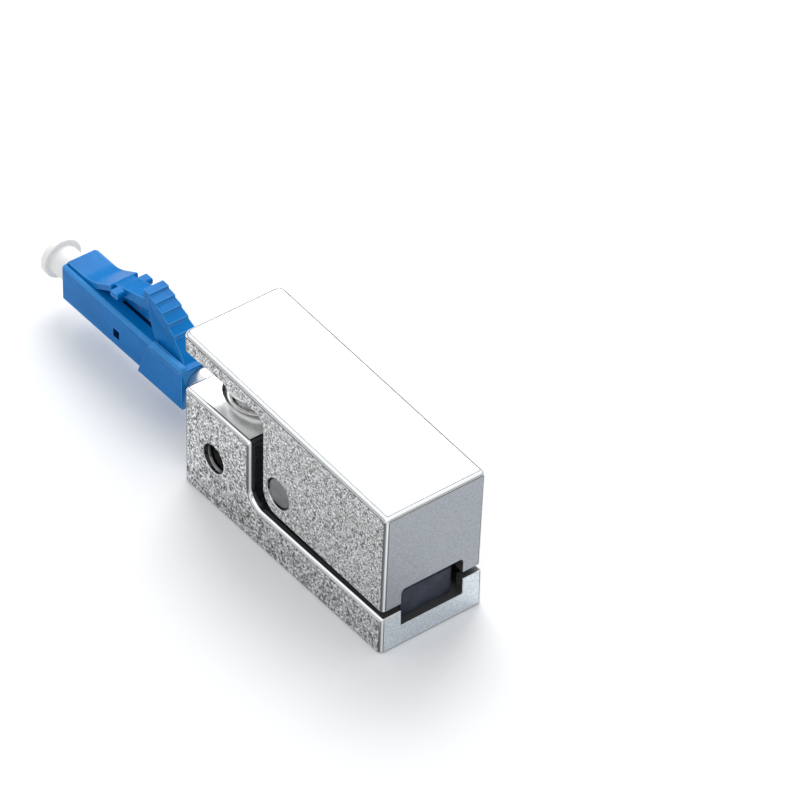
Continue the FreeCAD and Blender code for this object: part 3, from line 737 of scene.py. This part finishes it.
def open_box(shape, low, high, *rounding):
    """A box open at both X ends, its lower and upper long edges rounded; returns the two ends."""
    made = bmesh.ops.create_cube(shape, size=1)["verts"]
    bmesh.ops.scale(shape, verts=made, vec=high - low)
    bmesh.ops.translate(shape, verts=made, vec=(low + high) / 2)
    ends = {face for vert in made for face in vert.link_faces if abs(face.normal.x) > 0.5}
    bmesh.ops.delete(shape, geom=list(ends), context="FACES_ONLY")
    for level, radius in zip((low.z, high.z), rounding):
        long_edges = {
            edge for vert in shape.verts for edge in vert.link_edges
            if all(abs(end.co.z - level) < WELD for end in edge.verts)
            and abs(edge.verts[0].co.x - edge.verts[1].co.x) > WELD and vert in set(made)
        }
        mark_faces(shape, "rim", round_off(shape, list(long_edges), radius, BORE_SIDES // 4 - 1))
    return [
        [
            edge for edge in shape.edges
            if edge.is_boundary and all(abs(end.co.x - x) < WELD for end in edge.verts)
            and all(low.y - WELD < end.co.y < high.y + WELD for end in edge.verts)
        ]
        for x in (low.x, high.x)
    ]


def bored(shape, start, steps, end, axis_z):
    """Joins one open end to another through a stepped round bore of (radius, x) steps."""
    loop = start
    for radius, x in steps:
        turn = Matrix.Translation((x, 0, axis_z)) @ Matrix.Rotation(math.pi / 2, 4, "Y")
        ring = bmesh.ops.create_circle(
            shape, cap_ends=False, segments=BORE_SIDES, radius=radius, matrix=turn,
        )["verts"]
        next_loop = list({edge for vert in ring for edge in vert.link_edges})
        bmesh.ops.bridge_loops(shape, edges=loop + next_loop)
        loop = next_loop
    bmesh.ops.bridge_loops(shape, edges=loop + end)


def recess(shape, low, high, inward):
    """Sinks the rectangle between two corners into the flat face that it lies on."""
    axis = max(range(3), key=lambda i: abs(inward[i]))
    flat = [i for i in range(3) if i != axis]
    level = (low[axis] + high[axis]) / 2
    outward = -inward.normalized()

    def faces_there():
        """The faces of that flat."""
        return [
            face for face in shape.faces
            if face.normal.dot(outward) > 0.99
            and abs(face.calc_center_median()[axis] - level) < JUST_INSIDE
        ]

    for i in flat:
        normal = Vector((0, 0, 0))
        normal[i] = 1
        for corner in (low, high):
            flats = faces_there()
            geometry = list({item for face in flats for item in [face, *face.edges, *face.verts]})
            bmesh.ops.bisect_plane(
                shape, geom=geometry, dist=WELD, plane_co=corner, plane_no=normal,
            )
    sunk = [
        face for face in faces_there()
        if all(low[i] < face.calc_center_median()[i] < high[i] for i in flat)
    ]
    swept = bmesh.ops.extrude_face_region(shape, geom=sunk)["geom"]
    moved = [item for item in swept if isinstance(item, bmesh.types.BMVert)]
    bmesh.ops.translate(shape, verts=moved, vec=inward)
    bmesh.ops.delete(shape, geom=[face for face in sunk if face.is_valid], context="FACES_ONLY")
    # The sunk faces carry the hollow mark, which the plastic paints in shade.
    mark_faces(shape, "hollow", {face for vert in moved for face in vert.link_faces})


blue_finish = moulded_plastic("blue_moulding", DEEP_BLUE, LIGHT_BLUE)
plug_low, plug_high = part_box("plug_housing")
half_side = (plug_high.y - plug_low.y) / 2
axis_z = plug_low.z + half_side
mouth_x = plug_low.x
roof_z = axis_z + half_side
housing = moulding()
front_loop, rear_loop = open_box(
    housing, plug_low, Vector((plug_high.x, plug_high.y, roof_z)), HOUSING_ROUND, HOUSING_ROUND,
)
web_x = mouth_x + MOUTH_DEPTH
bore = (
    (MOUTH_RADIUS, mouth_x),
    (MOUTH_RADIUS, web_x),
    (WEB_HOLE, web_x),
    (WEB_HOLE, web_x + WEB_THICKNESS),
    (BARREL_RADIUS, web_x + WEB_THICKNESS),
    (BARREL_RADIUS, plug_high.x),
)
bored(housing, front_loop, bore, rear_loop, axis_z)
bmesh.ops.recalc_face_normals(housing, faces=housing.faces)
clear_of_mouth = 1.2 * MOUTH_RADIUS
end_rims = [
    edge for edge in sharp_edges(housing)
    if all(max(abs(end.co.y), abs(end.co.z - axis_z)) > clear_of_mouth for end in edge.verts)
]
mark_faces(housing, "rim", round_off(housing, end_rims, HOUSING_RIM, 3))
window_x = mouth_x + WINDOW_SETBACK
for side_y, inward in ((-half_side, WINDOW_DEPTH), (half_side, -WINDOW_DEPTH)):
    recess(
        housing,
        Vector((window_x, side_y, axis_z - WINDOW_SIDE)),
        Vector((window_x + WINDOW_SIDE, side_y, axis_z)),
        Vector((0, inward, 0)),
    )
recess(
    housing,
    Vector((mouth_x + SLOT_SETBACK, -SLOT_OFFSET - SLOT_WIDTH / 2, roof_z)),
    Vector((mouth_x + SLOT_SETBACK + SLOT_LENGTH, -SLOT_OFFSET + SLOT_WIDTH / 2, roof_z)),
    Vector((0, 0, -SLOT_DEPTH)),
)
# The arm's root rises in a smooth bend to the lugs, and the narrower free arm goes on from there.
root_x = mouth_x + ROOT_SETBACK
root_top = roof_z + ROOT_RISE
bend_x = mouth_x + BEND_SETBACK
knee_x = mouth_x + KNEE_SETBACK
knee_top = root_top + KNEE_RISE
bar(
    housing,
    [
        (root_x, root_top - ROOT_THICKNESS, 0),
        (bend_x + 0.1 * MM, root_top - ROOT_THICKNESS, 0.5 * MM),
        (knee_x, knee_top - ROOT_THICKNESS, 0),
        (knee_x, knee_top, 0.3 * MM),
        (bend_x, root_top, 1.6 * MM),
        (root_x, root_top, 0.15 * MM),
    ],
    ROOT_WIDTH, ARM_RIM,
)
arm_x = knee_x - ARM_OVERLAP
tip_x = knee_x + ARM_REACH
tip_top = plug_high.z
bar(
    housing,
    [
        (arm_x, knee_top - 1.05 * MM, 0),
        (knee_x + 1.3 * MM, knee_top - 0.95 * MM, 0.6 * MM),
        (tip_x, tip_top - TIP_THICKNESS, 0.2 * MM),
        (tip_x, tip_top, 0.15 * MM),
        (arm_x, knee_top - 0.3 * MM, 0),
    ],
    ARM_WIDTH, ARM_RIM,
)
lug_x = mouth_x + LUG_SETBACK
lug_end = lug_x + LUG_LENGTH
bar(
    housing,
    [
        (lug_x, knee_top - LUG_FALL, LUG_ROUND),
        (lug_end, knee_top - LUG_FALL, LUG_ROUND),
        (lug_end, knee_top + LUG_RISE, LUG_ROUND),
        (lug_x, knee_top + LUG_RISE, LUG_ROUND),
    ],
    2 * (half_side - LUG_SKIN), LUG_RIM,
)
blue_housing = finished(housing, "blue_housing", "clamp_base", blue_finish, "plug_housing")

# ---- The plug's clip ----------------------------------------------------------------------------
# A second blue moulding snapped over the housing's rear. Its trigger, stepped for the finger,
# reaches forward over the latch arm and presses it down.

CLIP_LENGTH = 5.3 * MM
CLIP_FIT = 0.05 * MM
CLIP_SKIN = 0.02 * MM
CLIP_ROUND = 0.25 * MM
CLIP_RIM = 0.07 * MM
CLIP_SLANT = 2.0 * MM
CLIP_LEAD = 0.3 * MM
DECK_RISE = 0.14 * MM
BEAD_RISE = 0.49 * MM
BEAD_WIDTH = 0.95 * MM
BEAD_DEPTH = 1.2 * MM
BEAD_ROUND = 0.44 * MM
NECK_FIT = 2.05 * MM
COLLAR_FIT = 2.35 * MM
COLLAR_DEPTH = 1.6 * MM
TRIGGER_WIDTH = 2.45 * MM
TRIGGER_FLARE = 0.45
TRIGGER_RIM = 0.07 * MM
TRIGGER_SLICE = 0.5 * MM
CROWN_FALL = 0.18 * MM
NOSE_DEPTH = 1.1 * MM
WEB_SLOPE = 0.16
WEB_RIM = 0.03 * MM
TRIGGER_STEPS = 5
STEP_PITCH = 1.08 * MM
STEP_FALL = 0.29 * MM
STEP_BEND = 0.06 * MM
STEP_LIP = 0.32 * MM


def sliced(shape, start, stride, cuts):
    """Cuts a shape across at even strides from a start, so that it can be bent."""
    for cut in range(1, cuts + 1):
        bmesh.ops.bisect_plane(
            shape, geom=shape.verts[:] + shape.edges[:] + shape.faces[:], dist=WELD,
            plane_co=start + cut * stride, plane_no=stride.normalized(),
        )


clip_low, clip_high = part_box("plug_clip")
clip_rear = clip_high.x
clip_front = clip_rear - CLIP_LENGTH
deck_z = roof_z + DECK_RISE
bead_z = roof_z + BEAD_RISE
clip = moulding()
outer_front, outer_rear = open_box(
    clip,
    Vector((clip_front, clip_low.y + CLIP_SKIN, clip_low.z)),
    Vector((clip_rear, clip_high.y - CLIP_SKIN, deck_z)),
    CLIP_ROUND, CLIP_ROUND,
)
room = half_side + CLIP_FIT
step_x = plug_high.x
inner_front, inner_rear = open_box(
    clip,
    Vector((clip_front, -room, axis_z - room)),
    Vector((step_x, room, axis_z + room)),
    HOUSING_ROUND, HOUSING_ROUND,
)
bmesh.ops.bridge_loops(clip, edges=outer_front + inner_front)
# Its front is cut aslant: the foot reaches further forward along the housing than the deck does.
for vert in clip.verts:
    if abs(vert.co.x - clip_front) < WELD:
        vert.co.x -= CLIP_SLANT * (deck_z - vert.co.z) / (deck_z - clip_low.z) + CLIP_LEAD
bore = (
    (COLLAR_FIT, step_x),
    (COLLAR_FIT, step_x + COLLAR_DEPTH),
    (NECK_FIT, step_x + COLLAR_DEPTH),
    (NECK_FIT, clip_rear),
)
bored(clip, inner_rear, bore, outer_rear, axis_z)
bmesh.ops.recalc_face_normals(clip, faces=clip.faces)
clip_rims = [
    edge for edge in sharp_edges(clip)
    if all(abs(end.co.y) > room or abs(end.co.z - axis_z) > room + CLIP_FIT for end in edge.verts)
]
mark_faces(clip, "rim", round_off(clip, clip_rims, CLIP_RIM, 3))
bead_front = clip_front - CLIP_LEAD
bead_rear = clip_rear - 0.05 * MM
for side_y in (clip_low.y + BEAD_WIDTH / 2, clip_high.y - BEAD_WIDTH / 2):
    bar(
        clip,
        [
            (bead_front, bead_z - BEAD_DEPTH, 0),
            (bead_rear, bead_z - BEAD_DEPTH, 0),
            (bead_rear, bead_z, 0),
            (bead_front, bead_z, 0),
        ],
        BEAD_WIDTH, BEAD_ROUND, side_y, 5,
    )
# The trigger is a stepped finger plate whose nose overhangs the latch arm's tip. Its underside goes
# through points given by their reach from the nose and their fall from the crown.
nose_x = clip_low.x
crown_z = clip_high.z - CROWN_FALL
foot_x = clip_rear - 0.5 * MM
foot_z = deck_z - 0.2 * MM
under = [
    (0.85 * MM, 0.97 * MM), (1.2 * MM, 1.25 * MM), (1.85 * MM, 1.62 * MM), (3.0 * MM, 2.5 * MM),
    (4.0 * MM, 2.87 * MM), (5.0 * MM, 3.3 * MM), (7.5 * MM, crown_z - foot_z),
]
underside = [(nose_x + reach, crown_z - fall, 0) for reach, fall in under]
plate = [(nose_x, crown_z - NOSE_DEPTH, 0), *underside, (foot_x, foot_z, 0)]
for step in range(TRIGGER_STEPS, 0, -1):
    reach = nose_x + step * STEP_PITCH
    root_level = crown_z - STEP_FALL * step - STEP_BEND * step ** 2
    plate.append((reach, root_level, 0.08 * MM))
    plate.append((reach, root_level + STEP_LIP, 0.15 * MM))
plate.append((nose_x, crown_z, 0.12 * MM))
trigger = moulding()
bar(trigger, plate, TRIGGER_WIDTH, TRIGGER_RIM)
web = underside[::-1]
web += [(nose_x + 1.6 * MM, crown_z - 3.2 * MM, 0.8 * MM), (nose_x + 2.8 * MM, foot_z, 0)]
bar(trigger, web, TRIGGER_WIDTH, WEB_RIM)
# The web widens towards its foot, and the plate flares towards its rear.
sliced(trigger, Vector((nose_x, 0, 0)), ALONG * TRIGGER_SLICE, 15)
sliced(trigger, Vector((0, 0, foot_z)), UP * TRIGGER_SLICE, 9)
full_flare = (foot_x - nose_x) * (crown_z - foot_z)
for vert in trigger.verts:
    reach = vert.co.x - nose_x
    fall = crown_z - vert.co.z
    plate_fall = crown_z - foot_z
    for (near_x, near_fall), (far_x, far_fall) in zip(under, under[1:]):
        if near_x <= reach <= far_x:
            share = (reach - near_x) / (far_x - near_x)
            plate_fall = near_fall + (far_fall - near_fall) * share
    flare = TRIGGER_FLARE * (reach * fall / full_flare) ** 2
    vert.co.y *= 1 + flare + WEB_SLOPE * max(0, fall - plate_fall) / (TRIGGER_WIDTH / 2)
spare = bpy.data.meshes.new("trigger")
trigger.to_mesh(spare)
trigger.free()
clip.from_mesh(spare)
bpy.data.meshes.remove(spare)
blue_clip = finished(clip, "blue_clip", "clamp_base", blue_finish, "plug_clip")

# ---- The dust cap -------------------------------------------------------------------------------
# A soft translucent white cap, moulded in one. Its barrel is pushed over the ferrule into the mouth
# of the plug, and a round flange stays outside to pull it by.

CAP_FLANGE = 2.3 * MM
CAP_FLANGE_THICKNESS = 0.9 * MM
CAP_BARREL = 1.58 * MM
CAP_TAPER = 0.14 * MM
CAP_LEAD = 0.05 * MM
CAP_BORE = 0.69 * MM
CAP_WALL = 1.0 * MM
CAP_ROUND = 0.16 * MM
CAP_SHADE = (0.70, 0.69, 0.67, 1)
CAP_WHITE = (0.80, 0.79, 0.77, 1)

cap_finish = Finish(
    "white_cap", Metallic=0.0, IOR=1.45, Subsurface_Weight=0.25, Subsurface_Scale=0.6 * MM,
    Subsurface_Radius=(1.0, 1.0, 0.95),
)
cap_cloud = cap_finish.mottle(1.1 * MM, 2.0)
cap_skin = cap_finish.mottle(0.15 * MM, 2.0, seed=8.0)
cap_finish.feed(
    Base_Color=cap_finish.blend(cap_cloud, CAP_SHADE, CAP_WHITE),
    Roughness=0.34 + 0.12 * cap_skin,
    Normal=cap_finish.relief(cap_skin, 0.004 * MM),
)
cap_low, cap_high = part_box("dust_cap")
cap_length = cap_high.x - cap_low.x
cap_shape = turned(
    [
        (0, 0),
        (0, CAP_FLANGE),
        (CAP_FLANGE_THICKNESS, CAP_FLANGE),
        (CAP_FLANGE_THICKNESS, CAP_BARREL + CAP_TAPER),
        (0.45 * cap_length, CAP_BARREL),
        (cap_length, CAP_BARREL - CAP_LEAD),
        (cap_length, CAP_BORE),
        (CAP_WALL, CAP_BORE),
        (CAP_WALL, 0),
    ],
    Vector((cap_low.x, 0, axis_z)), ALONG,
)
round_off(cap_shape, sharp_edges(cap_shape), CAP_ROUND, 4)
ferrule_cap = finished(cap_shape, "ferrule_cap", "cap", cap_finish, "dust_cap")

# ---- The floor, light and camera ----------------------------------------------------------------
# A pale matt sheet lies under the part. A large soft light hangs behind and above it and a weak one
# in front, in a studio that is bright overhead and darker near the horizon.

AZIMUTH = math.radians(51.36)
ELEVATION = math.radians(40.77)
ROLL = math.radians(1.38)
FOCAL_LENGTH = 264.4
CAMERA_PLACE = (338.2 * MM, -262.2 * MM, 387.3 * MM)

camera = bpy.data.objects.new("camera", bpy.data.cameras.new("camera"))
camera.data.lens = FOCAL_LENGTH
camera.data.clip_start = 0.01
camera.data.clip_end = 20
back = Vector(
    (
        math.sin(AZIMUTH) * math.cos(ELEVATION),
        -math.cos(AZIMUTH) * math.cos(ELEVATION),
        math.sin(ELEVATION),
    )
)
camera.location = CAMERA_PLACE
camera.rotation_mode = "QUATERNION"
camera.rotation_quaternion = (-back).to_track_quat("-Z", "Y") @ Quaternion((0, 0, 1), ROLL)
bpy.context.scene.collection.objects.link(camera)
bpy.context.scene.camera = camera

sheet = bmesh.new()
bmesh.ops.create_grid(sheet, x_segments=1, y_segments=1, size=3)
floor_finish = Finish("pale_sheet", Roughness=0.9)
floor_finish.feed(Base_Color=floor_finish.blend(floor_finish.mottle(0.3), grey(0.77), grey(0.79)))
floor_mesh = bpy.data.meshes.new("floor")
sheet.to_mesh(floor_mesh)
sheet.free()
floor_mesh.materials.append(floor_finish.material)
floor = bpy.data.objects.new("floor", floor_mesh)
floor.location.z = -JUST_INSIDE
bpy.context.scene.collection.objects.link(floor)


def light(name, place, size, power):
    """A square soft light that looks at the part."""
    lamp = bpy.data.lights.new(name, "AREA")
    lamp.shape = "SQUARE"
    lamp.size = size
    lamp.energy = power
    holder = bpy.data.objects.new(name, lamp)
    holder.location = place
    holder.rotation_mode = "QUATERNION"
    holder.rotation_quaternion = (aim - Vector(place)).to_track_quat("-Z", "Y")
    bpy.context.scene.collection.objects.link(holder)


aim = Vector((-0.6 * MM, 8.4 * MM, 13.2 * MM))
light("overhead", (-0.46, 0.37, 0.62), 0.6, 4.9)
light("front_fill", (0.55, -0.75, 0.5), 0.6, 1)


class Surroundings(Finish):
    """The studio's own glow, which a Background shader gives."""

    def __init__(self, world):
        world.use_nodes = True
        self.nodes = world.node_tree.nodes
        self.links = world.node_tree.links
        self.shader = self.nodes["Background"]


world = bpy.data.worlds.new("studio")
studio = Surroundings(world)
way = studio.node("ShaderNodeTexCoord", {}, {}, "Generated")
height = studio.node("ShaderNodeSeparateXYZ", {}, {"Vector": way}, "Z")
studio.feed(Color=(0.96, 0.98, 1.0, 1), Strength=0.25 + 0.87 * height.rise(0.05, 0.6))
bpy.context.scene.world = world
bpy.context.scene.view_settings.view_transform = "Standard"
